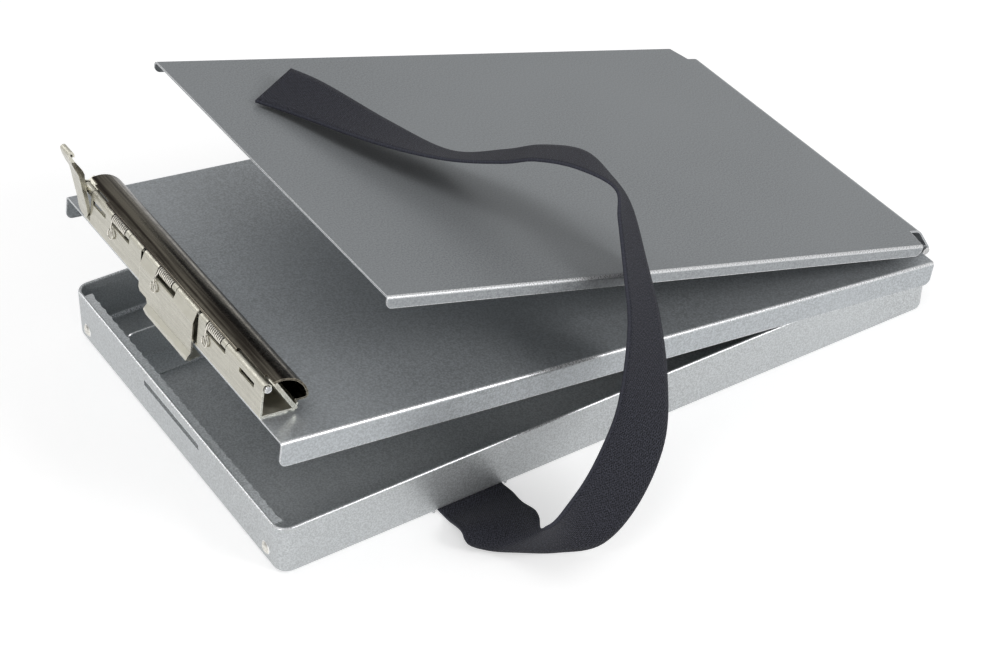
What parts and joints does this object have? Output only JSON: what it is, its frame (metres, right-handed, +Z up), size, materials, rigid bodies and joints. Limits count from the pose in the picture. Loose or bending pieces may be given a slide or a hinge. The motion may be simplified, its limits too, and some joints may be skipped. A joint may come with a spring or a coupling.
{
  "type": "storage clipboard box",
  "caption": "Shallow sheet-metal storage tray closed by a hinged writing plate with a sprung paper clip and latch, a hinged cover over the papers, and a woven carrying strap.",
  "frame": {"origin": "middle of the tray's flat underside", "axes": "+X along the length toward the hinge, the clip and latch at -X; +Y across the width toward the lever; +Z up"},
  "size_m": [0.4243, 0.3028, 0.1617],
  "materials": {
    "tray": "satin",
    "lip": "satin",
    "divider": "satin",
    "plate": "satin",
    "cover": "satin",
    "hinge": "satin",
    "clip": "polished nickel",
    "wire": "polished",
    "rivets": "satin",
    "strap": "woven"
  },
  "bodies": {
    "tray_body": {"tray": "tray", "front_lip": "lip", "lip_rivets": "rivets", "divider": "divider", "divider_rivets": "rivets", "tray_hinge_leaf": "hinge", "tray_leaf_rivets": "rivets", "hinge_pin": "hinge", "strap": "strap", "strap_plate": "hinge", "strap_rivets": "rivets"},
    "plate_body": {"writing_plate": "plate", "plate_hinge_leaf": "hinge", "plate_leaf_rivets": "rivets", "clip_base": "clip", "base_rivets": "rivets", "clip_pin": "wire", "spring_near": "wire", "spring_mid": "wire", "spring_far": "wire"},
    "cover_body": {"cover": "cover"},
    "jaw_body": {"jaw_plate": "clip", "jaw_bar": "clip", "jaw_rivets": "rivets", "lever": "clip", "lever_rivets": "rivets"},
    "latch_body": {"latch": "clip"}
  },
  "joints": [
    {"name": "plate_hinge", "type": "hinge", "parent": "tray_body", "child": "plate_body", "pos_m": [0.2104, 0, 0.031], "axis": [0, 1, 0], "range_deg": [-7.5, 77], "deforming": ["strap"]},
    {"name": "cover_hinge", "type": "hinge", "parent": "plate_body", "child": "cover_body", "pos_m": [0.2104, 0, 0.031], "axis": [0, 1, 0], "range_deg": [-9, 91], "deforming": ["strap"]},
    {"name": "jaw_pivot", "type": "hinge", "parent": "plate_body", "child": "jaw_body", "pos_m": [-0.19857, 0, 0.10373], "axis": [0, -1, 0], "range_deg": [0, 35], "stiffness_Nm_per_rad": 0.5, "springref_deg": -11.46, "deforming": ["spring_near", "spring_mid", "spring_far"]},
    {"name": "latch_pivot", "type": "hinge", "parent": "plate_body", "child": "latch_body", "pos_m": [-0.19857, 0, 0.10373], "axis": [0, 1, 0], "range_deg": [0, 35], "stiffness_Nm_per_rad": 0.02, "springref_deg": -11.46, "deforming": ["spring_mid"]}
  ]
}
